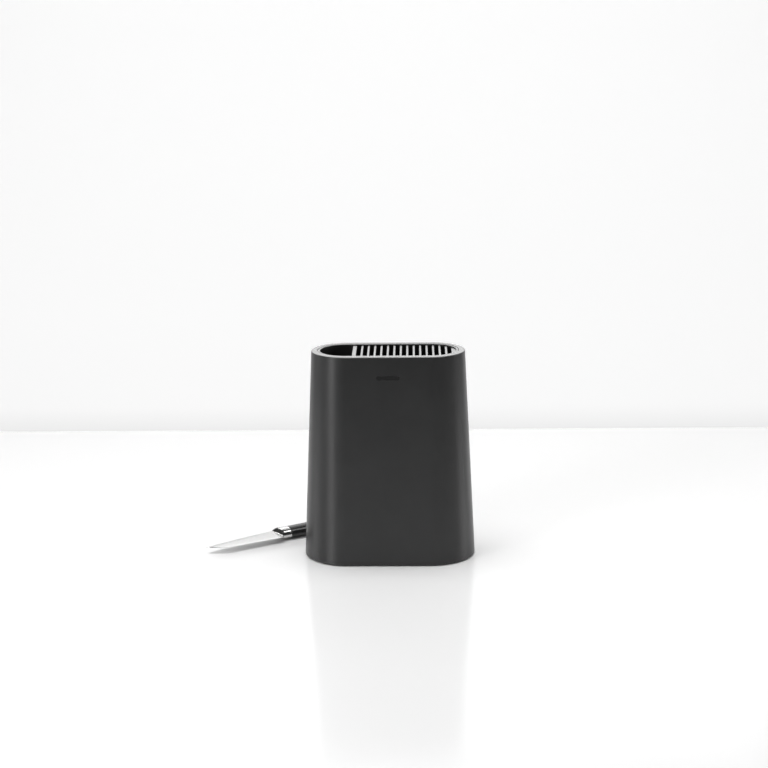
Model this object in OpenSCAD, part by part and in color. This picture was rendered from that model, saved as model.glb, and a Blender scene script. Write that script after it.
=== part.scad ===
// Free-standing kitchen knife block with a lift-out slotted insert, and one paring knife lying beside it.
// Origin: centre of the block's footprint, on the surface it stands on. +X is the block's long
// direction, +Y points to its back, +Z is up. Every plan outline of the block is an obround: a straight
// stretch with a half circle at each end.

/* [Block] */
// Overall height of the block
block_h = 235; // [220:1:250]
// Length of the straight stretch between the two round ends
straight_len = 92.6; // [92.6:0.2:110]
// Radius of the round ends at the rim
top_r = 38.5; // [38:0.1:42]
// Radius of the round ends at table height
base_r = 49.7; // [48:0.1:56]
// Wall thickness of the outer shell
shell_wall = 3; // [2.4:0.1:3.4]
// Width of the shell's flat rim, from its outer edge to the seam round the insert
shell_rim_w = 7; // [6:0.1:7.5]
// Rounding of the rim's outer edge
rim_round = 1.4; // [0.6:0.1:2]

/* [Underside] */
// Thickness of the anti-slip pad, which is also the shadow gap under the shell
pad_t = 1.2; // [0.8:0.1:2]
// Radius of the pad's round ends
pad_r = 35; // [30:0.5:35]
// Thickness of the base plate
plate_t = 3.5; // [3:0.1:5]
// Thread length of a base screw
screw_len = 12; // [8:1:16]

/* [Insert] */
// Width of the whole rim, from the shell's outer edge to the insert's opening
rim_w = 9.9; // [9.9:0.1:11]
// Wall thickness of the insert sleeve
sleeve_wall = 1.5; // [1.5:0.1:1.6]
// Thickness of the lip that hangs in the rim
lip_t = 2.6; // [2:0.1:3]
// Height of the insert's lower end above the table
insert_bottom = 7; // [6:0.5:20]
// Number of slats
slat_count = 14; // [10:1:14]
// Thickness of a slat
slat_t = 2.4; // [2:0.1:2.6]
// Distance from one slat to the next
slat_pitch = 7.13; // [7:0.01:7.2]
// Place of the first slat's centre along X
first_slat_x = -28.8; // [-30:0.1:-28.8]
// How far the slats stop below the rim
slat_recess = 1.5; // [1:0.1:4]
// Thickness of the wall between the slots and the utensil compartment
divider_t = 4; // [3:0.1:4]
// Place of that wall's centre along X
divider_x = -37.1; // [-38:0.1:-37]
// Fillet in the utensil compartment's corners
corner_fillet = 4; // [2:0.5:6]

/* [Paring knife] */
// Blade length, from tip to bolster, along the handle's centre line
blade_len = 89.3; // [80:0.1:100]
// Blade thickness at the spine, at the heel
blade_t = 2; // [1.6:0.1:2.4]
// Height of the spine above the handle's centre line, at the heel
spine_rise = 10.3; // [8:0.1:12]
// Depth of the cutting edge below the handle's centre line
edge_drop = 13.6; // [11:0.1:14]
// Length of the curved belly behind the tip
belly_len = 30; // [24:1:40]
// Slant of the blade's heel, from square to the handle
heel_slant = 12; // [0:0.5:14]
// Bolster length along the handle's centre line
bolster_len = 14.2; // [12:0.1:18]
// Half the width of the bolster's oval
bolster_a = 10.5; // [9.5:0.1:12]
// Half the thickness of the bolster's oval
bolster_b = 6.5; // [5.5:0.1:7]
// Length of the handle's black grip
grip_len = 93.5; // [80:0.5:100]
// Greatest half thickness of the grip, on which the knife lies
grip_b = 7.2; // [7:0.1:8]
// Thickness of the end cap
cap_t = 4; // [3:0.5:6]
// Where the knife's tip lies, along X
tip_x = -208.8; // [-240:0.1:-205]
// Where the knife's tip lies, along Y
tip_y = -3.9; // [-10:0.1:20]
// Direction of the knife's handle, turned from +X
knife_turn = 30; // [26:0.5:34]

/* [Hidden] */
$fn = 96;

// ---- block, derived ----
half_straight = straight_len / 2;
draft = (base_r - top_r) / block_h;
shell_bottom = pad_t;
edge_round = 0.8;
flange_t = 5;
arc_steps = 5;
far = 400;

// ---- marker recess on the front ----
marker_w = 25;
marker_h = 4;
marker_depth = 0.35;
marker_clear = 2;
marker_below_rim = 23;

// ---- underside, derived ----
plate_gap = 0.4;
plate_r = outer_r(shell_bottom) - shell_wall - plate_gap;
plate_top = shell_bottom + plate_t;
boss_r = 4.2;
boss_h = 20;
boss_inset = 8.2;
boss_y = base_r - boss_inset;
boss_rib = 5;
pilot_r = 1.5;
screw_r = 1.45;
screw_hole_r = 2;
head_r = 3.4;
head_h = 1.8;
head_recess_r = 3.8;
head_recess_h = 2;
cross_w = 0.9;
screw_spots = [for (sx = [-1, 1]) for (sy = [-1, 1]) [sx * half_straight, sy * boss_y]];

// ---- insert, derived ----
slip = 0.3;
opening_r = top_r - rim_w;
sleeve_r = opening_r + sleeve_wall;
seam_r = top_r - shell_rim_w;
lip_r = seam_r - slip;
lip_drop = 0.2;
ledge_z = block_h - lip_t - lip_drop;
lip_top = block_h - lip_drop;
slat_top = block_h - slat_recess;
floor_ledge_t = 1;
floor_ledge_w = 1.6;
floor_t = 2;
floor_gap = 0.1;
floor_top = insert_bottom + floor_ledge_t + floor_t;
groove_depth = 0.8;
groove_gap = 0.1;
drain_w = 2.6;
drain_len = 30;
tray_drain_len = 16;
tray_drains = 4;
filler_clear = 0.4;
filler_x = first_slat_x + (slat_count - 0.5) * slat_pitch + divider_t / 2 + filler_clear;

// ---- knife, derived ----
grip_start = blade_len + bolster_len;
grip_end = grip_start + grip_len;
oval_points = 40;
tip_drop = 0.8;
bolster_slope = 4.6;
bolster_lip = 1.2;
bolster_hollow_r = 20;
tang_w = 9;
tang_gap = 0.1;
tang_in_cap = 2;
grip_a = bolster_a + 1;
blade_edge_t = 0.25;
blade_tip_t = 0.9;
knife_z = grip_b;

SLATS = [for (i = [1:slat_count]) slat_name(i)];

// Name of slat number i, with two digits.
function slat_name(i) = str("slat_", i < 10 ? "0" : "", i);

// Centre of slat number i along X.
function slat_x(i) = first_slat_x + (i - 1) * slat_pitch;

// Radius of the shell's outside at height z.
function outer_r(z) = top_r + (block_h - z) * draft;

// Points of an arc round [cx, cy], from angle a0 to angle a1.
function arc(cx, cy, r, a0, a1) =
    [for (k = [0:arc_steps]) let (a = a0 + (a1 - a0) * k / arc_steps) [cx + r * cos(a), cy + r * sin(a)]];

// ---- plan outlines and sweeps of the block ----

// Filled obround with round ends of radius r.
module obround(r) {
    square([straight_len, 2 * r], center = true);
    for (side = [-1, 1]) {
        translate([side * half_straight, 0]) circle(r);
    }
}

// Upright obround solid from height z0 to z1.
module obround_solid(r, z0, z1) {
    translate([0, 0, z0]) linear_extrude(z1 - z0) obround(r);
}

// A wall section, drawn as [radius, height], carried once round the obround.
module obround_sweep(section) {
    for (turn = [0, 180]) {
        rotate([0, 0, turn]) {
            translate([half_straight, 0, 0]) rotate([0, 0, -90]) rotate_extrude(angle = 180) polygon(section);
            translate([-half_straight, 0, 0]) rotate([90, 0, 90]) linear_extrude(straight_len) polygon(section);
        }
    }
}

// Slab across the block, centred on x.
module slab(x, t, z0, z1) {
    translate([x - t / 2, -far / 2, z0]) cube([t, far, z1 - z0]);
}

// ---- block: fixed parts ----

// Shell wall with its inward rim, the ledge for the insert's lip and rounded edges.
shell_section = concat(
    [[outer_r(shell_bottom) - shell_wall, shell_bottom]],
    arc(outer_r(shell_bottom) - edge_round, shell_bottom + edge_round, edge_round, -90, 0),
    arc(top_r - rim_round, block_h - rim_round, rim_round, 0, 90),
    arc(seam_r + edge_round / 2, block_h - edge_round / 2, edge_round / 2, 90, 180),
    [
        [seam_r, ledge_z],
        [sleeve_r + slip, ledge_z],
        [sleeve_r + slip, block_h - flange_t],
        [outer_r(block_h - flange_t) - shell_wall, block_h - flange_t],
    ]
);

// Plain lozenge-shaped recess, square to the sloping front wall.
module marker_recess() {
    z = block_h - marker_below_rim;
    flat_w = marker_w - marker_h;
    translate([0, -outer_r(z), z]) rotate([90 - atan(draft), 0, 0]) {
        translate([0, 0, -marker_depth]) linear_extrude(marker_depth + marker_clear) {
            square([flat_w, marker_h], center = true);
            for (side = [-1, 1]) {
                translate([side * flat_w / 2, 0]) circle(marker_h / 2);
            }
        }
    }
}

// Screw bosses, each tied to the wall by a rib.
module bosses() {
    boss_top = plate_top + boss_h;
    intersection() {
        obround_solid(outer_r(boss_top) - shell_wall / 2, plate_top, boss_top);
        for (spot = screw_spots) {
            translate([spot[0], spot[1], plate_top]) {
                cylinder(r = boss_r, h = boss_h);
                translate([-boss_rib / 2, spot[1] > 0 ? 0 : -boss_y, 0]) cube([boss_rib, boss_y, boss_h]);
            }
        }
    }
}

module outer_shell() {
    color([0.2, 0.2, 0.21]) difference() {
        union() {
            obround_sweep(shell_section);
            bosses();
        }
        for (spot = screw_spots) {
            translate([spot[0], spot[1], plate_top - 1]) cylinder(r = pilot_r, h = screw_len + 2);
        }
        marker_recess();
    }
}

module base_plate() {
    color([0.16, 0.16, 0.17]) difference() {
        obround_solid(plate_r, shell_bottom, plate_top);
        for (spot = screw_spots) {
            translate([spot[0], spot[1], 0]) {
                cylinder(r = screw_hole_r, h = plate_top + 1);
                cylinder(r = head_recess_r, h = shell_bottom + head_recess_h);
            }
        }
    }
}

// One pan-head screw, head down, with a cross recess.
module base_screw() {
    head_z = shell_bottom + head_recess_h;
    difference() {
        union() {
            translate([0, 0, head_z - head_h]) cylinder(r = head_r, h = head_h);
            translate([0, 0, head_z]) cylinder(r = screw_r, h = screw_len);
        }
        for (turn = [0, 90]) {
            rotate([0, 0, turn]) translate([-head_r / 2, -cross_w / 2, 0]) cube([head_r, cross_w, head_z - head_h / 3]);
        }
    }
}

module base_screws() {
    color("silver") for (spot = screw_spots) {
        translate([spot[0], spot[1], 0]) base_screw();
    }
}

module foot_pad() {
    color([0.08, 0.08, 0.08]) obround_solid(pad_r, 0, pad_t);
}

// ---- insert ----

// Sleeve wall: floor ledge at its foot, hanging lip at its top.
sleeve_section = concat(
    [
        [opening_r, insert_bottom + floor_ledge_t],
        [opening_r - floor_ledge_w, insert_bottom + floor_ledge_t],
        [opening_r - floor_ledge_w, insert_bottom],
        [sleeve_r, insert_bottom],
        [sleeve_r, ledge_z],
        [lip_r, ledge_z],
    ],
    arc(lip_r - edge_round / 2, lip_top - edge_round / 2, edge_round / 2, 0, 90),
    arc(opening_r + edge_round, lip_top - edge_round, edge_round, 90, 180)
);

// Upright panel that reaches into the sleeve's grooves at both ends.
module panel(x, t, reach) {
    intersection() {
        slab(x, t, floor_top, slat_top);
        obround_solid(opening_r + reach, floor_top, slat_top);
    }
}

module insert_sleeve() {
    color([0.18, 0.18, 0.19]) difference() {
        obround_sweep(sleeve_section);
        intersection() {
            obround_solid(opening_r + groove_depth, floor_top - 1, slat_top);
            union() {
                for (i = [1:slat_count]) {
                    slab(slat_x(i), slat_t + 2 * groove_gap, floor_top - 1, slat_top);
                }
                slab(divider_x, divider_t + 2 * groove_gap, floor_top - 1, slat_top);
            }
        }
    }
}

// Floor plate with a drain slot under every knife slot and under the utensil compartment.
module insert_floor() {
    tray_from = -half_straight - opening_r;
    tray_step = (divider_x - tray_from) / (tray_drains + 1);
    color([0.18, 0.18, 0.19]) difference() {
        obround_solid(opening_r - floor_gap, floor_top - floor_t, floor_top);
        for (i = [0:slat_count]) {
            translate([slat_x(i + 0.5), 0, floor_top]) cube([drain_w, drain_len, far], center = true);
        }
        for (k = [1:tray_drains]) {
            translate([tray_from + k * tray_step, 0, floor_top]) cube([drain_w, tray_drain_len, far], center = true);
        }
    }
}

// Wall between the slots and the utensil compartment, with a fillet in each compartment corner.
module divider_wall() {
    face_x = divider_x - divider_t / 2;
    color([0.2, 0.2, 0.21]) {
        panel(divider_x, divider_t, groove_depth - groove_gap);
        for (side = [0, 1]) {
            mirror([0, side, 0]) translate([face_x, opening_r, floor_top]) difference() {
                translate([-corner_fillet, -corner_fillet, 0]) cube([corner_fillet, corner_fillet, slat_top - floor_top]);
                translate([-corner_fillet, -corner_fillet, -1]) cylinder(r = corner_fillet, h = far);
            }
        }
    }
}

// Panel and top cap that close the last crescent of the opening.
module end_filler() {
    cap_h = 2.4;
    color([0.2, 0.2, 0.21]) intersection() {
        obround_solid(opening_r - floor_gap, floor_top, slat_top);
        union() {
            translate([filler_x, -far / 2, floor_top]) cube([slat_t, far, far]);
            translate([filler_x, -far / 2, slat_top - cap_h]) cube([far, far, cap_h]);
        }
    }
}

module slat(i) {
    color([0.22, 0.22, 0.23]) panel(slat_x(i), slat_t, groove_depth - groove_gap);
}

// ---- paring knife, drawn along +X from its tip, spine towards +Y ----

// Places a knife part on the table beside the block.
module on_table() {
    translate([tip_x, tip_y, knife_z]) rotate([0, 0, knife_turn]) children();
}

// Carries a section drawn as [y, z] along X, from x0 to x1.
module along_x(x0, x1) {
    translate([x0, 0, 0]) rotate([90, 0, 90]) linear_extrude(x1 - x0) children();
}

// Carries a section drawn as [x, z] across the whole width.
module across_y() {
    rotate([90, 0, 0]) linear_extrude(far, center = true) children();
}

// Where the slanted heel crosses height y.
function heel_x(y) = blade_len - y * tan(heel_slant);

// Side view of the blade: nearly straight spine, straight edge, round belly up to the tip.
module blade_outline() {
    depth = edge_drop - tip_drop;
    belly_r = (belly_len * belly_len + depth * depth) / (2 * depth);
    rise = spine_rise + tip_drop;
    bow = 1.1;
    chord = sqrt(blade_len * blade_len + rise * rise);
    spine_r = chord * chord / (8 * bow) + bow / 2;
    lean = atan2(rise, blade_len);
    intersection() {
        polygon([
            [0, -edge_drop],
            [heel_x(-edge_drop), -edge_drop],
            [heel_x(spine_rise), spine_rise],
            [0, spine_rise],
        ]);
        union() {
            translate([belly_len, belly_r - edge_drop]) circle(belly_r, $fn = 256);
            translate([belly_len, -far / 2]) square([far, far]);
        }
        translate([0, -tip_drop]) rotate(lean) translate([chord / 2, bow - spine_r]) circle(spine_r, $fn = 720);
    }
}

module knife_blade() {
    tang_end = grip_end + tang_in_cap;
    heel_end = heel_x(-edge_drop);
    color([0.8, 0.8, 0.8]) on_table() {
        intersection() {
            linear_extrude(far / 10, center = true) blade_outline();
            along_x(-1, heel_end + 1) polygon([
                [-edge_drop, blade_edge_t / 2],
                [-edge_drop, -blade_edge_t / 2],
                [spine_rise, -blade_t / 2],
                [spine_rise, blade_t / 2],
            ]);
            across_y() polygon([
                [-1, blade_tip_t / 2],
                [-1, -blade_tip_t / 2],
                [heel_end, -blade_t / 2],
                [heel_end, blade_t / 2],
            ]);
        }
        linear_extrude(blade_t, center = true) polygon([
            [heel_x(-tang_w / 2), -tang_w / 2],
            [tang_end, -tang_w / 2],
            [tang_end, tang_w / 2],
            [heel_x(tang_w / 2), tang_w / 2],
        ]);
    }
}

// Oval of half width a and half thickness b.
function oval(a, b) = [for (k = [0:oval_points - 1]) let (t = 360 * k / oval_points) [a * cos(t), b * sin(t)]];

// Room for the blade's tang, from x0 to x1.
module tang_slot(x0, x1) {
    w = tang_w + 2 * tang_gap;
    t = blade_t + 2 * tang_gap;
    translate([x0, -w / 2, -t / 2]) cube([x1 - x0, w, t]);
}

// Oval collar whose slanted front hollows down to the blade on both sides.
module knife_bolster() {
    rise = bolster_b - bolster_lip;
    lean = atan2(rise, bolster_slope);
    half_chord = sqrt(bolster_slope * bolster_slope + rise * rise) / 2;
    hollow_y = sqrt(bolster_hollow_r * bolster_hollow_r - half_chord * half_chord);
    color("gainsboro") on_table() difference() {
        intersection() {
            along_x(heel_x(bolster_a), grip_start) polygon(oval(bolster_a, bolster_b));
            translate([blade_len, 0, 0]) rotate([0, 0, heel_slant]) across_y() difference() {
                translate([0, -bolster_b]) square([2 * bolster_len, 2 * bolster_b]);
                for (side = [0, 1]) {
                    mirror([0, side]) translate([0, bolster_lip]) rotate(lean) {
                        translate([half_chord, hollow_y]) circle(bolster_hollow_r);
                    }
                }
            }
        }
        tang_slot(heel_x(bolster_a), grip_start + 1);
    }
}

// Solid through a list of [x, half width, half thickness] stations.
module loft(stations) {
    n = oval_points;
    rings = len(stations);
    points = [for (s = stations) for (p = oval(s[1], s[2])) [s[0], p[0], p[1]]];
    sides = [
        for (j = [0:rings - 2]) for (k = [0:n - 1])
            [j * n + k, (j + 1) * n + k, (j + 1) * n + (k + 1) % n, j * n + (k + 1) % n]
    ];
    front = [[for (k = [0:n - 1]) k]];
    back = [[for (k = [0:n - 1]) (rings - 1) * n + n - 1 - k]];
    polyhedron(points, concat(sides, front, back));
}

// The grip swells from the bolster's oval to its fullest point and narrows slightly behind it.
grip_rings = 12;
swell_at = 0.7;
end_shrink = 0.25;
function swell(u) =
    u < swell_at ? sin(90 * u / swell_at) : 1 - end_shrink * pow((u - swell_at) / (1 - swell_at), 2);
function grip_station(u) = [
    grip_start + u * grip_len,
    bolster_a + (grip_a - bolster_a) * swell(u),
    bolster_b + (grip_b - bolster_b) * swell(u),
];

module knife_handle() {
    color([0.07, 0.07, 0.07]) on_table() difference() {
        loft([for (k = [0:grip_rings]) grip_station(k / grip_rings)]);
        tang_slot(grip_start - 1, grip_end + 1);
    }
}

// Steel cap with a rounded back edge, on the end of the tang.
module knife_end_cap() {
    end = grip_station(1);
    cap_round = 2.2;
    color("gainsboro") on_table() difference() {
        loft(concat(
            [end],
            [for (k = [0:arc_steps]) let (t = 90 * k / arc_steps) [
                grip_end + cap_t - cap_round + cap_round * sin(t),
                end[1] - cap_round * (1 - cos(t)),
                end[2] - cap_round * (1 - cos(t)),
            ]]
        ));
        tang_slot(grip_end - 1, grip_end + tang_in_cap);
    }
}

// ---- what is drawn ----
outer_shell();
base_plate();
base_screws();
foot_pad();
insert_sleeve();
insert_floor();
divider_wall();
end_filler();
for (i = [1:slat_count]) {
    slat(i);
}
knife_blade();
knife_bolster();
knife_handle();
knife_end_cap();
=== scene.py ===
"""Looks of a slotted knife block and its paring knife: detailed pieces, materials, studio and camera.

Lengths are in metres, in the CAD model's own frame. The origin is the centre of the block's footprint,
+X runs along the block and +Z is up.
"""

import math

import bpy
import bmesh
from mathutils import Matrix, Vector


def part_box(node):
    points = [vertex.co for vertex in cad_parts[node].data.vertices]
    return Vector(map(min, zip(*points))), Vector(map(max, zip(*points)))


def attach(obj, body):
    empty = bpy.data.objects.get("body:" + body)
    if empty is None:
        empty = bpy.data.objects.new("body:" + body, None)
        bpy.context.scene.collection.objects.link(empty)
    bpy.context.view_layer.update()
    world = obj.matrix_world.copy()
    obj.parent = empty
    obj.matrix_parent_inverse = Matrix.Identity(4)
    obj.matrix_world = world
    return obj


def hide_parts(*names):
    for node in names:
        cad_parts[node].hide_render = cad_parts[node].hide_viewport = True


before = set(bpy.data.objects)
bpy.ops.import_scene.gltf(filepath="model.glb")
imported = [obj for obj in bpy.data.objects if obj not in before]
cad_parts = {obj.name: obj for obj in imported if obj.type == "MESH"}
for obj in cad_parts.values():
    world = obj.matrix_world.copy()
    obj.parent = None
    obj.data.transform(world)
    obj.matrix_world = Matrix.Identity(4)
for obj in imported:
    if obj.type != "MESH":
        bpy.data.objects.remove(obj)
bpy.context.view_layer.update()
MM = 0.001

# ---- sizes of the block, from the frame ----
SHELL_LOW, SHELL_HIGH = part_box("outer_shell")
SLEEVE_LOW, SLEEVE_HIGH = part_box("insert_sleeve")
FLOOR_LOW, FLOOR_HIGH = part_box("insert_floor")
SLAT_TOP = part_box("slat_01")[1].z
PLATE_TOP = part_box("base_plate")[1].z
HALF_STRAIGHT = SHELL_HIGH.x - SHELL_HIGH.y
RIM_LIP_GAP = 0.3 * MM
SHELL_RIM_WIDTH = 7 * MM
SHELL_WALL = 3 * MM
SHELL_FLANGE = 5 * MM
RIM_ROUND = 1.4 * MM
FOOT_ROUND = 0.8 * MM
SEAM_ROUND = 0.4 * MM
LIP_THICKNESS = 2.6 * MM
LIP_WIDTH = 2.6 * MM
SLEEVE_WALL = 1.5 * MM
FLOOR_LEDGE = 1.6 * MM
LIP_RADIUS = SLEEVE_HIGH.y
SEAM_RADIUS = LIP_RADIUS + RIM_LIP_GAP
TOP_RADIUS = SEAM_RADIUS + SHELL_RIM_WIDTH
FOOT_RADIUS = SHELL_HIGH.y
OPENING_RADIUS = LIP_RADIUS - LIP_WIDTH
SLEEVE_RADIUS = OPENING_RADIUS + SLEEVE_WALL
LEDGE_Z = SLEEVE_HIGH.z - LIP_THICKNESS
GROOVE_DEPTH = 0.8 * MM
GROOVE_GAP = 0.1 * MM
MARKER_WIDTH = 25 * MM
MARKER_HEIGHT = 4 * MM
MARKER_BELOW_RIM = 23 * MM
MARKER_Z = SHELL_HIGH.z - MARKER_BELOW_RIM
MARKER_DEPTH = 0.35 * MM
SCREW_INSET = 8.15 * MM
SLATS = sorted(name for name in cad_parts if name.startswith("slat_"))
SLAT_ROUND = 0.35 * MM
DIVIDER_THICKNESS = 4 * MM
CORNER_FILLET = 4 * MM
FILLER_THICKNESS = 2.4 * MM
ROUND_STEPS = 64


# ---- mesh helpers ----


def arc(centre, radius, start, end, steps=6):
    """Points (u, v) on an arc round centre, from the start to the end angle in degrees."""
    points = []
    for k in range(steps + 1):
        angle = math.radians(start + (end - start) * k / steps)
        points.append((centre[0] + radius * math.cos(angle), centre[1] + radius * math.sin(angle)))
    return points


def new_object(name, bm):
    """Object from a bmesh, with outward normals."""
    bmesh.ops.recalc_face_normals(bm, faces=bm.faces)
    mesh = bpy.data.meshes.new(name)
    bm.to_mesh(mesh)
    bm.free()
    piece = bpy.data.objects.new(name, mesh)
    bpy.context.scene.collection.objects.link(piece)
    return piece


def sweep_obround(name, section, steps=ROUND_STEPS):
    """Closed wall section of (radius, height) points, carried once round the obround."""
    bm = bmesh.new()
    loops = []
    for side, start in ((1, -90), (-1, 90)):
        for k in range(steps + 1):
            angle = math.radians(start + 180 * k / steps)
            loops.append([
                bm.verts.new((side * HALF_STRAIGHT + r * math.cos(angle), r * math.sin(angle), z))
                for r, z in section
            ])
    count = len(section)
    for i, loop in enumerate(loops):
        after = loops[(i + 1) % len(loops)]
        for j in range(count):
            bm.faces.new((loop[j], after[j], after[(j + 1) % count], loop[(j + 1) % count]))
    return new_object(name, bm)


def obround_reach(x, radius):
    """Half width of an obround at x."""
    over = max(abs(x) - HALF_STRAIGHT, 0)
    return math.sqrt(max(radius * radius - over * over, 0))


def obround_plan(radius, steps=ROUND_STEPS):
    """Plan outline of an obround."""
    right = arc((HALF_STRAIGHT, 0), radius, -90, 90, steps)
    left = arc((-HALF_STRAIGHT, 0), radius, 90, 270, steps)
    return right + left


def strip_plan(x0, x1, radius, steps=8):
    """Plan outline of the obround's stretch between x0 and x1."""
    xs = [x0 + (x1 - x0) * k / steps for k in range(steps + 1)]
    front = [(x, -obround_reach(x, radius)) for x in xs]
    return front + [(x, -y) for x, y in reversed(front)]


def add_prism(bm, plan, z0, z1, top_round=0.0, foot_round=0.0):
    """Adds an upright prism to a bmesh, with its top and bottom edges rounded."""
    low = [bm.verts.new((x, y, z0)) for x, y in plan]
    high = [bm.verts.new((x, y, z1)) for x, y in plan]
    count = len(plan)
    floor = bm.faces.new(list(reversed(low)))
    roof = bm.faces.new(high)
    for j in range(count):
        bm.faces.new((low[j], low[(j + 1) % count], high[(j + 1) % count], high[j]))
    for face, width in ((roof, top_round), (floor, foot_round)):
        if width:
            bmesh.ops.bevel(
                bm, geom=list(face.edges), offset=width, offset_type="OFFSET", segments=4, profile=0.5,
                affect="EDGES", clamp_overlap=True,
            )


def prism(name, plan, z0, z1, top_round=0.0, foot_round=0.0):
    """Object that is one upright prism."""
    bm = bmesh.new()
    add_prism(bm, plan, z0, z1, top_round, foot_round)
    return new_object(name, bm)


def combine(piece, tool, operation):
    """Joins a tool solid to a piece, or cuts it out, and removes the tool."""
    step = piece.modifiers.new("combine", "BOOLEAN")
    step.operation = operation
    step.object = tool
    step.solver = "EXACT"
    step.use_self = True
    bake_modifiers(piece)
    bpy.data.objects.remove(tool)


def bake_modifiers(piece):
    """Writes a piece's modifiers into its mesh."""
    seen = piece.evaluated_get(bpy.context.evaluated_depsgraph_get())
    mesh = bpy.data.meshes.new_from_object(seen)
    mesh.name = piece.name
    piece.modifiers.clear()
    piece.data = mesh


def soften(piece, width, angle):
    """Bevels every edge of a piece that is sharper than the angle in degrees."""
    step = piece.modifiers.new("soften", "BEVEL")
    step.width = width
    step.segments = 3
    step.limit_method = "ANGLE"
    step.angle_limit = math.radians(angle)
    bake_modifiers(piece)


def finish_piece(piece, body, material, stands_for=None, crease=35):
    """Shading, material and body of a finished piece; hides the CAD part that it stands for."""
    mesh = piece.data
    mesh.materials.clear()
    mesh.materials.append(material)
    bm = bmesh.new()
    bm.from_mesh(mesh)
    for face in bm.faces:
        face.smooth = True
        face.material_index = 0
    limit = math.radians(crease)
    for edge in bm.edges:
        edge.smooth = len(edge.link_faces) == 2 and edge.calc_face_angle(0) < limit
    bm.to_mesh(mesh)
    bm.free()
    weights = piece.modifiers.new("weighted_normals", "WEIGHTED_NORMAL")
    weights.keep_sharp = True
    weights.mode = "FACE_AREA_WITH_ANGLE"
    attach(piece, body)
    if stands_for:
        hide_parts(stands_for)
    return piece


# ---- materials ----


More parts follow.
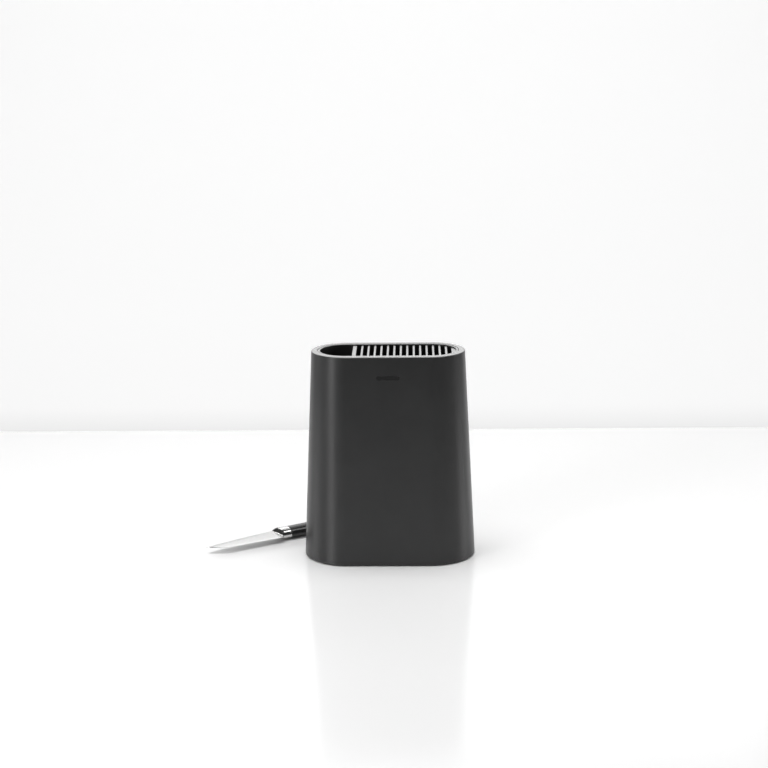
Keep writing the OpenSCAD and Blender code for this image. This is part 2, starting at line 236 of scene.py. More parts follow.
class Shading:
    """Node tree of one material, built round a Principled shader. Patterns use object coordinates."""

    def __init__(self, name, color, roughness, **settings):
        self.material = bpy.data.materials.new(name)
        self.material.use_nodes = True
        self.tree = self.material.node_tree
        self.tree.nodes.clear()
        output = self.node("ShaderNodeOutputMaterial")
        self.shader = self.node("ShaderNodeBsdfPrincipled")
        self.tree.links.new(self.shader.outputs[0], output.inputs["Surface"])
        self.shader.inputs["Base Color"].default_value = (*color, 1)
        self.shader.inputs["Roughness"].default_value = roughness
        for key, value in settings.items():
            self.shader.inputs[key].default_value = value
        self.place = self.node("ShaderNodeTexCoord").outputs["Object"]
        self.normal = None

    def node(self, kind, **settings):
        """New node with the given settings."""
        made = self.tree.nodes.new(kind)
        for key, value in settings.items():
            setattr(made, key, value)
        return made

    def feed(self, source, socket):
        """Links a socket to the input, or sets the input to a plain value."""
        if isinstance(source, bpy.types.NodeSocket):
            self.tree.links.new(source, socket)
        else:
            socket.default_value = source

    def stretched(self, scale, turn=(0, 0, 0)):
        """Object coordinates, turned and scaled."""
        mapping = self.node("ShaderNodeMapping")
        self.tree.links.new(self.place, mapping.inputs["Vector"])
        mapping.inputs["Rotation"].default_value = turn
        mapping.inputs["Scale"].default_value = scale
        return mapping.outputs[0]

    def noise(self, scale, detail=3.0, rough=0.5, vector=None):
        """Noise from 0 to 1, with scale in features per metre."""
        made = self.node("ShaderNodeTexNoise")
        self.tree.links.new(vector or self.place, made.inputs["Vector"])
        made.inputs["Scale"].default_value = scale
        made.inputs["Detail"].default_value = detail
        made.inputs["Roughness"].default_value = rough
        return made.outputs[0]

    def cells(self, scale):
        """Distance to the nearest cell centre, for a moulded grain."""
        made = self.node("ShaderNodeTexVoronoi")
        self.tree.links.new(self.place, made.inputs["Vector"])
        made.inputs["Scale"].default_value = scale
        return made.outputs["Distance"]

    def remap(self, value, low, high, to_low, to_high):
        """Stretches the range from low to high onto the range from to_low to to_high."""
        made = self.node("ShaderNodeMapRange")
        self.feed(value, made.inputs["Value"])
        ranges = {"From Min": low, "From Max": high, "To Min": to_low, "To Max": to_high}
        for key, number in ranges.items():
            made.inputs[key].default_value = number
        return made.outputs[0]

    def maths(self, operation, a, b=0.0, c=0.0):
        """One step of arithmetic on sockets or plain numbers."""
        made = self.node("ShaderNodeMath", operation=operation)
        for source, socket in zip((a, b, c), made.inputs):
            self.feed(source, socket)
        return made.outputs[0]

    def blend(self, share, a, b):
        """Colour a where share is 0 and b where it is 1."""
        made = self.node("ShaderNodeMix", data_type="RGBA")
        self.feed(share, made.inputs[0])
        self.feed(a if isinstance(a, bpy.types.NodeSocket) else (*a, 1), made.inputs[6])
        self.feed(b if isinstance(b, bpy.types.NodeSocket) else (*b, 1), made.inputs[7])
        return made.outputs[2]

    def height(self):
        """Height above the table, in metres."""
        split = self.node("ShaderNodeSeparateXYZ")
        self.tree.links.new(self.place, split.inputs[0])
        return split.outputs[2]

    def edges(self, radius, low=0.004, high=0.05):
        """1 along edges and corners narrower than radius, 0 on flat stretches."""
        bevel = self.node("ShaderNodeBevel", samples=4)
        bevel.inputs["Radius"].default_value = radius
        geometry = self.node("ShaderNodeNewGeometry")
        dot = self.node("ShaderNodeVectorMath", operation="DOT_PRODUCT")
        self.tree.links.new(bevel.outputs[0], dot.inputs[0])
        self.tree.links.new(geometry.outputs["Normal"], dot.inputs[1])
        return self.remap(self.maths("SUBTRACT", 1.0, dot.outputs["Value"]), low, high, 0, 1)

    def facing_up(self):
        """1 on level faces that look up, 0 on upright ones."""
        split = self.node("ShaderNodeSeparateXYZ")
        self.tree.links.new(self.node("ShaderNodeNewGeometry").outputs["Normal"], split.inputs[0])
        return split.outputs[2]

    def lozenge(self, half_width, half_height, z):
        """1 inside an upright lozenge on the front, at height z, and 0 outside: the mask of the painted
        shade in the marker recess.
        """
        split = self.node("ShaderNodeSeparateXYZ")
        self.tree.links.new(self.place, split.inputs[0])
        x, y, up = split.outputs
        along = self.maths("SUBTRACT", self.maths("ABSOLUTE", x), half_width - half_height)
        over = self.maths("MAXIMUM", along, 0)
        rise = self.maths("SUBTRACT", up, z)
        squares = self.maths("ADD", self.maths("MULTIPLY", over, over), self.maths("MULTIPLY", rise, rise))
        inside = self.maths("LESS_THAN", self.maths("SQRT", squares), half_height)
        return self.maths("MULTIPLY", inside, self.maths("LESS_THAN", y, 0))

    def bump(self, height, distance, strength=1.0):
        """Adds a layer of bump, with distance in metres."""
        made = self.node("ShaderNodeBump")
        made.inputs["Strength"].default_value = strength
        made.inputs["Distance"].default_value = distance
        self.tree.links.new(height, made.inputs["Height"])
        if self.normal:
            self.tree.links.new(self.normal, made.inputs["Normal"])
        self.normal = made.outputs[0]

    def color(self, value):
        self.feed(value, self.shader.inputs["Base Color"])

    def roughness(self, value):
        self.feed(value, self.shader.inputs["Roughness"])

    def done(self):
        """The finished material, with its bump connected."""
        if self.normal:
            self.tree.links.new(self.normal, self.shader.inputs["Normal"])
        return self.material


def tint(tone, factor, lift=0.0):
    """Colour made lighter or darker, up to full white."""
    return tuple(min(c * factor + lift, 1) for c in tone)


def moulded_plastic(
    name, tone, roughness, grain=0.012 * MM, wear=0.5, grain_scale=2600, top_sheen=0, marker=None
):
    """Moulded plastic: fine eroded grain, faint cloudiness and paler, smoother edges.

    Level faces can have a sheen, and a painted shade can darken the marker lozenge recess on the front.
    """
    s = Shading(name, tone, roughness)
    cloud = s.noise(18, 4, 0.6)
    fine = s.cells(grain_scale)
    worn = s.edges(0.7 * MM)
    patchy = s.maths("MULTIPLY", worn, s.remap(s.noise(160, 3, 0.6), 0.35, 0.7, 0.15, 1))
    cloudy = s.blend(s.remap(cloud, 0.3, 0.7, 0, 1), tint(tone, 0.9), tint(tone, 1.1))
    surface = s.blend(s.maths("MULTIPLY", patchy, wear), cloudy, tint(tone, 1.9, 0.01))
    if marker:
        # Painted shade: the marker lozenge recess is coloured darker, standing in for the shade that the
        # shallow recess holds.
        surface = s.blend(s.lozenge(*marker), surface, tint(tone, 0.45))
    s.color(surface)
    smooth = s.remap(cloud, 0.3, 0.7, roughness - 0.03, roughness + 0.03)
    s.roughness(s.maths("SUBTRACT", smooth, s.maths("MULTIPLY", worn, 0.08)))
    s.bump(fine, grain, 0.6)
    s.bump(s.noise(35, 2, 0.5), 0.05 * MM, 0.25)
    if top_sheen:
        up = s.facing_up()
        s.feed(s.remap(up, 0.6, 0.95, 0, top_sheen), s.shader.inputs["Coat Weight"])
        s.feed(s.remap(up, 0.6, 0.95, 1.5, 1.9), s.shader.inputs["IOR"])
        s.shader.inputs["Coat Roughness"].default_value = 0.25
    return s.done()


def rubber(name, tone):
    """Soft anti-slip rubber with a fine dusty grain."""
    s = Shading(name, tone, 0.8)
    dust = s.noise(90, 5, 0.65)
    s.color(s.blend(s.remap(dust, 0.45, 0.75, 0, 0.6), tone, tint(tone, 2.2, 0.01)))
    s.roughness(s.remap(dust, 0.3, 0.7, 0.7, 0.9))
    s.bump(s.noise(1500, 2), 0.03 * MM, 0.5)
    return s.done()


def brushed_steel(name, tone, roughness, turn, along=14, across=2600, depth=0.002 * MM):
    """Steel with fine parallel grinding lines at right angles to the given turn."""
    s = Shading(name, tone, roughness, Metallic=1.0)
    lines = s.noise(1, 6, 0.7, s.stretched((across, along, along), (0, 0, turn)))
    haze = s.noise(30, 3, 0.55)
    s.color(s.blend(s.remap(lines, 0.3, 0.7, 0, 1), tint(tone, 0.88), tone))
    ground = s.remap(lines, 0.3, 0.7, roughness - 0.03, roughness + 0.04)
    s.roughness(s.maths("ADD", ground, s.remap(haze, 0.4, 0.7, 0, 0.04)))
    s.bump(lines, depth, 0.5)
    return s.done()


def polished_steel(name, tone, roughness):
    """Polished steel with hairline scratches and faint smudges."""
    s = Shading(name, tone, roughness, Metallic=1.0)
    scratch = s.noise(1, 5, 0.75, s.stretched((1800, 60, 1800), (0, 0, 0.4)))
    smudge = s.noise(70, 4, 0.6)
    s.color(s.blend(s.remap(smudge, 0.35, 0.75, 0, 1), tone, tint(tone, 0.93)))
    s.roughness(s.remap(smudge, 0.35, 0.75, roughness, roughness + 0.07))
    s.bump(scratch, 0.0015 * MM, 0.35)
    return s.done()


def make_materials():
    """Every material of the object, by name."""
    made = {}
    # The shell's marker argument places the painted shade in its lozenge recess.
    made["shell_plastic"] = moulded_plastic(
        "shell_plastic", (0.022, 0.022, 0.0224), 0.34, top_sheen=1.0,
        marker=(MARKER_WIDTH / 2, MARKER_HEIGHT / 2, MARKER_Z),
    )
    made["base_plastic"] = moulded_plastic("base_plastic", (0.017, 0.017, 0.017), 0.5)
    made["insert_plastic"] = moulded_plastic(
        "insert_plastic", (0.013, 0.013, 0.0132), 0.34, 0.006 * MM, top_sheen=1.0
    )
    made["slat_plastic"] = moulded_plastic(
        "slat_plastic", (0.015, 0.015, 0.0152), 0.32, 0.005 * MM, top_sheen=1.0
    )
    made["handle_plastic"] = moulded_plastic(
        "handle_plastic", (0.016, 0.016, 0.016), 0.2, 0.004 * MM, 0.2, 3400
    )
    made["pad_rubber"] = rubber("pad_rubber", (0.012, 0.012, 0.012))
    made["screw_steel"] = polished_steel("screw_steel", (0.62, 0.62, 0.61), 0.25)
    made["blade_steel"] = brushed_steel("blade_steel", (0.47, 0.47, 0.467), 0.15, -KNIFE_TURN)
    made["bolster_steel"] = polished_steel("bolster_steel", (0.7, 0.7, 0.693), 0.1)
    made["cap_steel"] = polished_steel("cap_steel", (0.8, 0.8, 0.79), 0.12)
    return made


# ---- block ----


def outer_wall_radius(z):
    """Outside radius of the shell's round ends at height z."""
    low_z, high_z = SHELL_LOW.z + FOOT_ROUND, SHELL_HIGH.z - RIM_ROUND
    return FOOT_RADIUS + (TOP_RADIUS - FOOT_RADIUS) * (z - low_z) / (high_z - low_z)


def marker_cutter():
    """Rounded bar that cuts the plain lozenge recess into the front wall."""
    clear = 2 * MM
    flat = MARKER_WIDTH / 2 - MARKER_HEIGHT / 2
    end = MARKER_HEIGHT / 2
    plan = arc((flat, 0), end, -90, 90, 12) + arc((-flat, 0), end, 90, 270, 12)
    cutter = prism("marker", plan, -MARKER_DEPTH, clear)
    lean = math.atan((FOOT_RADIUS - TOP_RADIUS) / (SHELL_HIGH.z - SHELL_LOW.z))
    face = Matrix.Translation((0, -outer_wall_radius(MARKER_Z), MARKER_Z))
    cutter.data.transform(face @ Matrix.Rotation(math.pi / 2 - lean, 4, "X"))
    return cutter


def screw_bosses():
    """Four screw bosses inside the foot, each tied to the wall by a rib."""
    radius, rib, top = 4.2 * MM, 5 * MM, 20 * MM
    pilot, pilot_top = 1.5 * MM, 13 * MM
    screw_y = SHELL_HIGH.y - SCREW_INSET
    inside = obround_reach(0, outer_wall_radius(PLATE_TOP + top)) - SHELL_WALL / 2
    bosses, holes = bmesh.new(), bmesh.new()
    for sx in (-1, 1):
        for sy in (-1, 1):
            x, y = sx * HALF_STRAIGHT, sy * screw_y
            post = arc((x, y), radius, 0, 180, 20) + arc((x, y), radius, 180, 360, 20)[:-1]
            outline = [p for p in post if sy * (p[1] - y) < 0 or abs(p[0] - x) > rib / 2]
            outline.sort(key=lambda p: math.atan2(p[1] - y, p[0] - x) * sy % (2 * math.pi))
            rib_out = [(x + rib / 2, sy * inside), (x - rib / 2, sy * inside)]
            split = sum(1 for p in outline if sy * (p[1] - y) >= 0 and p[0] > x)
            ring = outline[:split] + rib_out + outline[split:]
            add_prism(bosses, ring, PLATE_TOP, PLATE_TOP + top)
            hole = arc((x, y), pilot, 0, 360, 20)[:-1]
            add_prism(holes, hole, PLATE_TOP - 2 * MM, PLATE_TOP + pilot_top)
    return new_object("bosses", bosses), new_object("pilot_holes", holes)


def make_shell(material):
    """Tapered shell: draft, rounded rim, seam edge and flange, with its bosses and the marker recess."""
    low, high = SHELL_LOW.z, SHELL_HIGH.z
    flange_z = high - SHELL_FLANGE
    section = (
        [(FOOT_RADIUS - SHELL_WALL, low)]
        + arc((FOOT_RADIUS - FOOT_ROUND, low + FOOT_ROUND), FOOT_ROUND, -90, 0)
        + arc((TOP_RADIUS - RIM_ROUND, high - RIM_ROUND), RIM_ROUND, 0, 90, 10)
        + arc((SEAM_RADIUS + SEAM_ROUND, high - SEAM_ROUND), SEAM_ROUND, 90, 180, 5)
        + [(SEAM_RADIUS, LEDGE_Z), (SLEEVE_RADIUS + RIM_LIP_GAP, LEDGE_Z)]
        + [(SLEEVE_RADIUS + RIM_LIP_GAP, flange_z), (outer_wall_radius(flange_z) - SHELL_WALL, flange_z)]
    )
    shell = sweep_obround("outer_shell_skin", section)
    bosses, holes = screw_bosses()
    combine(shell, bosses, "UNION")
    combine(shell, holes, "DIFFERENCE")
    combine(shell, marker_cutter(), "DIFFERENCE")
    return finish_piece(shell, "block", material, "outer_shell")


# ---- insert ----


def make_sleeve(material):
    """Insert wall with its hanging lip, floor ledge and one groove per slat."""
    low, high = SLEEVE_LOW.z, SLEEVE_HIGH.z
    edge, mouth = SEAM_ROUND, 0.8 * MM
    ledge_top = FLOOR_LOW.z
    section = (
        [(OPENING_RADIUS, ledge_top), (OPENING_RADIUS - FLOOR_LEDGE, ledge_top)]
        + [(OPENING_RADIUS - FLOOR_LEDGE, low), (SLEEVE_RADIUS, low)]
        + [(SLEEVE_RADIUS, LEDGE_Z), (LIP_RADIUS, LEDGE_Z)]
        + arc((LIP_RADIUS - edge, high - edge), edge, 0, 90, 5)
        + arc((OPENING_RADIUS + mouth, high - mouth), mouth, 90, 180, 8)
    )
    sleeve = sweep_obround("insert_sleeve_wall", section)
    grooves = bmesh.new()
    for node in ["divider_wall"] + SLATS:
        low_x, high_x = panel_span(node)
        plan = strip_plan(low_x - GROOVE_GAP, high_x + GROOVE_GAP, OPENING_RADIUS + GROOVE_DEPTH)
        add_prism(grooves, plan, FLOOR_HIGH.z - 1 * MM, SLAT_TOP)
    combine(sleeve, new_object("grooves", grooves), "DIFFERENCE")
    return finish_piece(sleeve, "insert", material, "insert_sleeve")


def panel_span(node):
    """Lowest and highest x of a slat or of the divider's flat panel."""
    low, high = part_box(node)
    if node == "divider_wall":
        return high.x - DIVIDER_THICKNESS, high.x
    return low.x, high.x


def make_slat(node, material):
    """Thin upright slat with a rounded top, reaching into the grooves at both ends."""
    low_x, high_x = panel_span(node)
    plan = strip_plan(low_x, high_x, OPENING_RADIUS + GROOVE_DEPTH - GROOVE_GAP)
    slat = prism(node + "_panel", plan, FLOOR_HIGH.z, SLAT_TOP, SLAT_ROUND, 0.2 * MM)
    return finish_piece(slat, "insert", material, node)


def make_divider(material):
    """Wall beside the utensil compartment, with a fillet in each compartment corner."""
    x0, x1 = panel_span("divider_wall")
    reach = OPENING_RADIUS + GROOVE_DEPTH - GROOVE_GAP
    wall = OPENING_RADIUS
    fillet = arc((x0 - CORNER_FILLET, wall - CORNER_FILLET), CORNER_FILLET, 90, 0, 10)
    half = [(x1, reach), (x0, reach), (x0, wall)] + fillet
    plan = half + [(x, -y) for x, y in reversed(half)]
    divider = prism("divider_wall_panel", plan, FLOOR_HIGH.z, SLAT_TOP, SLAT_ROUND)
    return finish_piece(divider, "insert", material, "divider_wall")


def make_filler(material):
    """Panel and top cap that close the opening's last crescent."""
    low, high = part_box("end_filler")
    radius = high.x - HALF_STRAIGHT
    plan = strip_plan(low.x, low.x + FILLER_THICKNESS, radius)
    filler = prism("end_filler_panel", plan, low.z, high.z, 0.0, 0.2 * MM)
    start = math.degrees(math.acos((low.x + 0.2 * MM - HALF_STRAIGHT) / radius))
    corner_y = radius * math.sin(math.radians(start))
    crescent = arc((HALF_STRAIGHT, 0), radius, -start, start, 32)
    crescent += [(low.x, corner_y), (low.x, -corner_y)]
    combine(filler, prism("cap", crescent, high.z - FILLER_THICKNESS, high.z), "UNION")
    soften(filler, 0.3 * MM, 50)
    return finish_piece(filler, "insert", material, "end_filler")


def make_insert_floor(material):
    """Floor plate with a drain slot under every knife slot and four under the compartment."""
    radius = FLOOR_HIGH.y
    plate = prism("insert_floor_plate", obround_plan(radius), FLOOR_LOW.z, FLOOR_HIGH.z, 0.3 * MM, 0.3 * MM)
    slots = bmesh.new()
    first, second = panel_span(SLATS[0]), panel_span(SLATS[1])
    pitch = second[0] - first[0]
    half_slot, knife_drain, tray_drain, tray_count = 1.3 * MM, 15 * MM, 8 * MM, 4
    for k in range(len(SLATS) + 1):
        x = (first[0] + first[1] - pitch) / 2 + pitch * k
        add_prism(slots, drain_plan(x, half_slot, knife_drain), FLOOR_LOW.z - MM, FLOOR_HIGH.z + MM)
    tray_low, tray_high = -HALF_STRAIGHT - OPENING_RADIUS, sum(panel_span("divider_wall")) / 2
    for k in range(1, tray_count + 1):
        x = tray_low + (tray_high - tray_low) * k / (tray_count + 1)
        add_prism(slots, drain_plan(x, half_slot, tray_drain), FLOOR_LOW.z - MM, FLOOR_HIGH.z + MM)
    combine(plate, new_object("drains", slots), "DIFFERENCE")
    return finish_piece(plate, "insert", material, "insert_floor")


def drain_plan(x, half_width, half_length):
    """Slot outline with round ends, centred on x."""
    far = half_length - half_width
    return arc((x, far), half_width, 0, 180, 8) + arc((x, -far), half_width, 180, 360, 8)


# ---- paring knife, drawn along +X from its tip, spine towards +Y ----

KNIFE_TURN = math.radians(30)
KNIFE_TIP = Vector((-208.8, -3.9, 7.2)) * MM
KNIFE_PLACE = Matrix.Translation(KNIFE_TIP) @ Matrix.Rotation(KNIFE_TURN, 4, "Z")
BLADE_LENGTH = 89.3 * MM
BLADE_HALF_THICKNESS = 1.0 * MM
EDGE_HALF_THICKNESS = 0.12 * MM
TIP_HALF_THICKNESS = 0.45 * MM
SPINE_RISE = 10.3 * MM
EDGE_DROP = 13.6 * MM
TIP_DROP = 0.8 * MM
BELLY_LENGTH = 30 * MM
SPINE_BOW = 1.1 * MM
HEEL_SLOPE = math.tan(math.radians(12))
BOLSTER_END = 103.5 * MM
BOLSTER_A = 10.5 * MM
BOLSTER_B = 6.5 * MM
BOLSTER_LIP = 1.2 * MM
BOLSTER_SLOPE = 4.6 * MM
BOLSTER_HOLLOW = 20 * MM
GRIP_LENGTH = 93.5 * MM
GRIP_A = BOLSTER_A + 1 * MM
GRIP_B = KNIFE_TIP.z
SWELL_AT = 0.7
CAP_THICKNESS = 4 * MM
CAP_INSET = 0.02 * MM


def spine_y(x):
    """Height of the spine above the handle's centre line, on a shallow arc."""
    rise = SPINE_RISE + TIP_DROP
    chord = math.hypot(BLADE_LENGTH, rise)
    radius = chord * chord / (8 * SPINE_BOW) + SPINE_BOW / 2
    lean = math.atan2(rise, BLADE_LENGTH)
    mid = Vector((BLADE_LENGTH / 2, rise / 2 - TIP_DROP))
    centre = mid + Vector((math.sin(lean), -math.cos(lean))) * (radius - SPINE_BOW)
    return min(centre.y + math.sqrt(radius * radius - (x - centre.x) ** 2), SPINE_RISE)


def edge_y(x):
    """Height of the cutting edge: a round belly behind the tip, then straight."""
    depth = EDGE_DROP - TIP_DROP
    radius = (BELLY_LENGTH ** 2 + depth ** 2) / (2 * depth)
    if x >= BELLY_LENGTH:
        return -EDGE_DROP
    return radius - EDGE_DROP - math.sqrt(radius * radius - (BELLY_LENGTH - x) ** 2)


def heel_x(y):
    """Where the slanted heel crosses height y."""
    return BLADE_LENGTH - y * HEEL_SLOPE


def blade_half_thickness(x, y):
    """Half thickness of the flat-ground blade, thinner towards edge and tip."""
    share = (y + EDGE_DROP) / (EDGE_DROP + SPINE_RISE)
    wedge = EDGE_HALF_THICKNESS + (BLADE_HALF_THICKNESS - EDGE_HALF_THICKNESS) * share
    taper = TIP_HALF_THICKNESS + (BLADE_HALF_THICKNESS - TIP_HALF_THICKNESS) * x / BLADE_LENGTH
    return min(wedge, taper)


def blade_section(u, tip_x):
    """Closed section of the blade at share u of its length, as (x, y, z) points."""

    def at(y_share):
        """Point of the blade's side view. The slanted heel moves x, so it is found in a few rounds."""
        x = tip_x + u * (BLADE_LENGTH - tip_x)
        for _ in range(3):
            y = edge_y(x) + y_share * (spine_y(x) - edge_y(x))
            x = tip_x + u * (heel_x(y) - tip_x)
        return x, y

    height = max(at(1)[1] - at(0)[1], 0.05 * MM)
    bevel = min(1.1 * MM / height, 0.4)
    crown = min(0.35 * MM / height, 0.3)
    shares = [0, bevel] + [bevel + (1 - crown - bevel) * k / 6 for k in range(1, 7)]
    shares += [1 - crown * 0.55, 1 - crown * 0.18]
    inner = [1.0] * (len(shares) - 2) + [0.86, 0.55]
    side = []
    for share, keep in zip(shares, inner):
        x, y = at(share)
        half = blade_half_thickness(x, y) * keep
        side.append((x, y, 0.02 * MM if share == 0 else half))
    top = at(1)
    return side + [(top[0], top[1], 0)] + [(x, y, -z) for x, y, z in reversed(side)]


def add_loft(bm, sections):
    """Closed solid through a list of closed sections with equal point counts."""
    rings = [[bm.verts.new(p) for p in section] for section in sections]
    count = len(rings[0])
    for ring, after in zip(rings, rings[1:]):
        for j in range(count):
            bm.faces.new((ring[j], ring[(j + 1) % count], after[(j + 1) % count], after[j]))
    bm.faces.new(list(reversed(rings[0])))
    bm.faces.new(rings[-1])


def make_blade(material):
    """Flat-ground blade with a fine cutting bevel and a rounded spine, and its hidden tang."""
    bm = bmesh.new()
    tip_x = 0.15 * MM
    shares = [(k / 56) ** 1.25 for k in range(57)]
    add_loft(bm, [blade_section(u, tip_x) for u in shares])
    tang_a, tang_b, end = 4.5 * MM, 0.95 * MM, BOLSTER_END + GRIP_LENGTH + 2 * MM
    corners = ((-tang_a, -tang_b), (tang_a, -tang_b), (tang_a, tang_b), (-tang_a, tang_b))
    front = [(heel_x(y) + 0.02 * MM, y, z) for y, z in corners]
    add_loft(bm, [front, [(end, y, z) for _, y, z in front]])
    blade = new_object("blade_steel_body", bm)
    blade.data.transform(KNIFE_PLACE)
    return finish_piece(blade, "knife", material, "knife_blade", 24)


def bolster_front(y, z):
    """X of the bolster's slanted front: flat beside the blade, then a slightly hollow slope."""
    rise = BOLSTER_B - BOLSTER_LIP
    half_chord = math.hypot(BOLSTER_SLOPE, rise) / 2
    lean = math.atan2(rise, BOLSTER_SLOPE)
    off = math.sqrt(BOLSTER_HOLLOW ** 2 - half_chord ** 2)
    centre_x = half_chord * math.cos(lean) - off * math.sin(lean)
    centre_z = BOLSTER_LIP + half_chord * math.sin(lean) + off * math.cos(lean)
    up = abs(z) - centre_z
    slope = centre_x + math.sqrt(max(BOLSTER_HOLLOW ** 2 - up * up, 0)) if abs(z) > BOLSTER_LIP else 0
    return heel_x(y) + slope / math.cos(math.atan(HEEL_SLOPE))


def make_bolster(material):
    """Polished oval collar with a slanted, hollowed front and softened edges."""
    bm = bmesh.new()
    around, levels = 96, 14
    back_land = 1.15 * MM
    columns = []
    for k in range(around + 1):
        y = -BOLSTER_A * math.cos(math.pi * k / around)
        top = BOLSTER_B * math.sqrt(max(1 - (y / BOLSTER_A) ** 2, 0))
        columns.append((y, top))
    rings = []
    for side in (1, -1):
        for y, top in columns if side == 1 else list(reversed(columns))[1:-1]:
            rings.append((y, side * top))
    count = len(rings)
    tip = [bm.verts.new((bolster_front(y, z), y, z)) for y, z in rings]
    middle = [bm.verts.new((BOLSTER_END - back_land, y, z)) for y, z in rings]
    groove = [bm.verts.new((BOLSTER_END - 0.15 * MM, y, z)) for y, z in rings]
    back = [bm.verts.new((BOLSTER_END, y * 0.985, z * 0.975)) for y, z in rings]
    for a, b in ((tip, middle), (middle, groove), (groove, back)):
        for j in range(count):
            bm.faces.new((a[j], a[(j + 1) % count], b[(j + 1) % count], b[j]))
    bm.faces.new(back)
    grid = []
    for k in range(around + 1):
        y, top = columns[k]
        column = []
        for level in range(-levels, levels + 1):
            share = level / levels
            if abs(level) == levels or top == 0:
                column.append(tip[k] if share >= 0 or top == 0 else tip[(count - k) % count])
                continue
            z = share * top
            column.append(bm.verts.new((bolster_front(y, z), y, z)))
        grid.append(column)
    for left, right in zip(grid, grid[1:]):
        for level in range(2 * levels):
            corners = [left[level], left[level + 1], right[level + 1], right[level]]
            unique = list(dict.fromkeys(corners))
            if len(unique) >= 3:
                bm.faces.new(unique)
    bolster = new_object("bolster_collar", bm)
    soften(bolster, 0.22 * MM, 38)
    bolster.data.transform(KNIFE_PLACE)
    return finish_piece(bolster, "knife", material, "knife_bolster", 50)


def swell(u):
    """Share of the grip's full swelling at share u of its length."""
    if u < SWELL_AT:
        return math.sin(math.pi / 2 * u / SWELL_AT)
    return 1 - 0.25 * ((u - SWELL_AT) / (1 - SWELL_AT)) ** 2


def oval_section(x, a, b, steps=72):
    """Oval ring at x, with half width a and half thickness b."""
    angles = [2 * math.pi * k / steps for k in range(steps)]
    return [(x, a * math.cos(angle), b * math.sin(angle)) for angle in angles]


def grip_size(u):
    """Half width and half thickness of the grip."""
    return BOLSTER_A + (GRIP_A - BOLSTER_A) * swell(u), BOLSTER_B + (GRIP_B - BOLSTER_B) * swell(u)


def make_handle(material):
    """Black grip, lofted through ovals, with a fine shadow step against the bolster and the cap."""
    bm = bmesh.new()
    step = 0.25 * MM
    stations = []
    for k in range(41):
        u = k / 40
        a, b = grip_size(u)
        stations.append((BOLSTER_END + u * GRIP_LENGTH, a, b))
    first, last = stations[0], stations[-1]
    stations[0] = (first[0] + step, first[1], first[2])
    stations[-1] = (last[0] - step, last[1], last[2])
    stations.insert(0, (first[0], first[1] - step, first[2] - step))
    stations.append((last[0], last[1] - step, last[2] - step))
    add_loft(bm, [oval_section(*s) for s in stations])
    handle = new_object("handle_grip", bm)
    handle.data.transform(KNIFE_PLACE)
    return finish_piece(handle, "knife", material, "knife_handle")


def make_end_cap(material):
    """Polished cap with a rounded back edge, a hair slimmer than the grip."""
    bm = bmesh.new()
    a, b = (size - CAP_INSET for size in grip_size(1))
    start = BOLSTER_END + GRIP_LENGTH
    turn, step = 2.2 * MM, 0.2 * MM
    stations = [(start, a - step, b - step), (start + step, a, b)]
    for k in range(9):
        angle = math.pi / 2 * k / 8
        shrink = turn * (1 - math.cos(angle))
        stations.append((start + CAP_THICKNESS - turn + turn * math.sin(angle), a - shrink, b - shrink))
    add_loft(bm, [oval_section(*s) for s in stations])
    cap = new_object("end_cap_steel", bm)
    cap.data.transform(KNIFE_PLACE)
    return finish_piece(cap, "knife", material, "knife_end_cap")


# ---- studio ----

TABLE_BACK = 517 * MM
TABLE_FRONT = -900 * MM
WALL_Y = 1600 * MM
# Emission strength of the backdrop: painted shade at its foot, then its painted glow, and a painted falloff
# towards its top.
WALL_PAINTED_GLOW_AND_SHADE = (0.615, 0.72)
WALL_PAINTED_FALLOFF = 0.085
WORLD_STRENGTH = 0.8
STAGE_ROUND = 1.5 * MM
CAMERA_SPOT = (27.25 * MM, -1718.5 * MM, 622.03 * MM)
CAMERA_LENS = 74.97
CAMERA_YAW, CAMERA_PITCH, CAMERA_ROLL = 0.0187, 0.2430, -0.0108
# Felt flags that close the studio off on every side but the backdrop's: name, low corner and high corner.
FLAGS = (
    ("flag_left", (-2.22, -2.3, -1.4), (-2.2, 1.6, 2.4)),
    ("flag_right", (2.2, -2.3, -1.4), (2.22, 1.6, 2.4)),
    ("flag_front", (-2.2, -2.32, -1.4), (2.2, -2.3, 2.4)),
    ("flag_under", (-2.22, -2.32, -1.42), (2.22, 1.6, -1.4)),
    ("flag_top", (-2.22, -2.32, 2.4), (2.22, 1.6, 2.42)),
)


def slab(name, low, high, material):
    """Flat piece of the stage between two corners, with its top and bottom edges rounded."""
    plan = [(low[0], low[1]), (high[0], low[1]), (high[0], high[1]), (low[0], high[1])]
    piece = prism(name, plan, low[2], high[2], STAGE_ROUND, STAGE_ROUND)
    piece.data.materials.append(material)
    return piece


def table_material():
    """Glossy white laminate."""
    s = Shading("table_white", (0.87, 0.87, 0.87), 0.17, IOR=1.4)
    s.roughness(s.remap(s.noise(6, 3), 0.3, 0.7, 0.15, 0.19))
    return s.done()


def wall_material():
    """Paper backdrop that glows as painted light, with painted shade making it a little darker low down and
    a painted falloff fading it slightly towards its top.
    """
    s = Shading("backdrop_painted_glow", (0.6, 0.6, 0.6), 0.9)
    rise = s.height()
    # Painted shade: the glow is weaker low down on the backdrop.
    foot = s.remap(rise, -0.31, -0.25, *WALL_PAINTED_GLOW_AND_SHADE)
    # Painted falloff: the glow fades slightly towards the top.
    painted_top_falloff = s.remap(rise, -0.25, 0.55, 0, WALL_PAINTED_FALLOFF)
    # The backdrop glows by emission, as painted light.
    s.feed((1, 1, 1, 1), s.shader.inputs["Emission Color"])
    s.feed(s.maths("SUBTRACT", foot, painted_top_falloff), s.shader.inputs["Emission Strength"])
    return s.done()


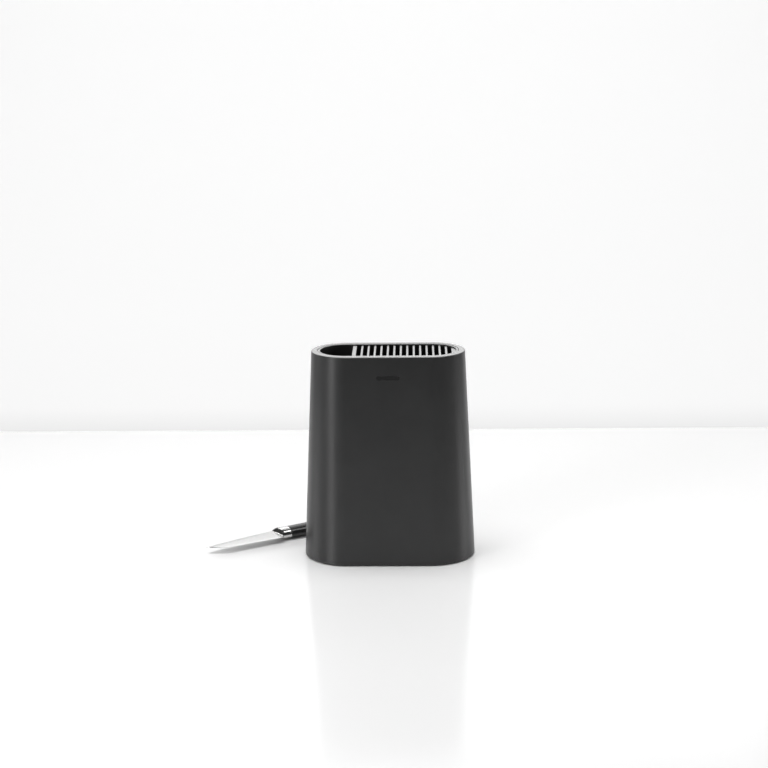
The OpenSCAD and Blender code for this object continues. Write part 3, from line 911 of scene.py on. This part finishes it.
def flag_material():
    """Black felt of the studio flags."""
    s = Shading("felt_dark", (0.1, 0.1, 0.1), 0.95)
    s.bump(s.noise(400, 2), 0.5 * MM, 0.5)
    return s.done()


def make_stage():
    """Table, backdrop and the flags, which the camera doesn't see."""
    table = slab("table", (-1.3, TABLE_FRONT, -0.03), (1.3, TABLE_BACK, 0), table_material())
    wall = slab("backdrop", (-2.2, WALL_Y, -1.4), (2.2, WALL_Y + 0.02, 2.4), wall_material())
    felt = flag_material()
    flags = [slab(name, low, high, felt) for name, low, high in FLAGS]
    for flag in flags:
        flag.visible_camera = False


def softbox(name, spot, target, size, power, spread=180):
    """Rectangular light that looks at its target, with power in watts and spread in degrees."""
    data = bpy.data.lights.new(name, "AREA")
    data.shape = "RECTANGLE"
    data.size, data.size_y = size
    data.energy = power
    data.spread = math.radians(spread)
    light = bpy.data.objects.new(name, data)
    light.location = spot
    light.rotation_mode = "QUATERNION"
    light.rotation_quaternion = (Vector(target) - Vector(spot)).to_track_quat("-Z", "Y")
    light.visible_camera = False
    bpy.context.scene.collection.objects.link(light)


def make_lights():
    """White world and six softboxes."""
    world = bpy.data.worlds.new("studio")
    bpy.context.scene.world = world
    world.use_nodes = True
    background = world.node_tree.nodes["Background"]
    background.inputs["Color"].default_value = (1, 1, 1, 1)
    background.inputs["Strength"].default_value = WORLD_STRENGTH
    softbox("overhead", (0, 0, 1.8), (0, 0, 0), (1.8, 0.8), 18, 150)
    softbox("behind", (0, 1.55, 0.82), (0, 0, 0.235), (1.6, 0.44), 3.0)
    softbox("left_strip", (-1.1, -1.05, 0.55), (0, 0, 0.1), (0.37, 1.0), 8.6)
    softbox("front_top", (0.2, -1.1, 1.95), (0, 0, 0), (3.2, 1.3), 12)
    softbox("left_low", (-1.8, 0.2, 0.5), (-0.1, 0.1, 0), (0.8, 0.5), 4.4)
    softbox("right_low", (1.8, 0.2, 0.5), (0.1, 0.1, 0), (0.8, 0.5), 5.6)


def make_camera():
    """Camera turned by yaw, pitched down and rolled a little."""
    data = bpy.data.cameras.new("camera")
    data.lens = CAMERA_LENS
    data.sensor_width = 36
    data.clip_end = 50
    camera = bpy.data.objects.new("camera", data)
    bpy.context.scene.collection.objects.link(camera)
    camera.matrix_world = (
        Matrix.Translation(CAMERA_SPOT)
        @ Matrix.Rotation(CAMERA_YAW, 4, "Z")
        @ Matrix.Rotation(math.pi / 2 - CAMERA_PITCH, 4, "X")
        @ Matrix.Rotation(CAMERA_ROLL, 4, "Z")
    )
    bpy.context.scene.camera = camera


# ---- build ----

bpy.context.scene.view_settings.view_transform = "Standard"
make_camera()
make_stage()
make_lights()
finish = make_materials()
make_shell(finish["shell_plastic"])
make_sleeve(finish["insert_plastic"])
make_insert_floor(finish["insert_plastic"])
make_divider(finish["insert_plastic"])
make_filler(finish["insert_plastic"])
for slat_node in SLATS:
    make_slat(slat_node, finish["slat_plastic"])
make_blade(finish["blade_steel"])
make_bolster(finish["bolster_steel"])
make_handle(finish["handle_plastic"])
make_end_cap(finish["cap_steel"])
kept_looks = {"base_plate": "base_plastic", "base_screws": "screw_steel", "foot_pad": "pad_rubber"}
for kept, look in kept_looks.items():
    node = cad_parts[kept]
    node.data.materials.clear()
    node.data.materials.append(finish[look])
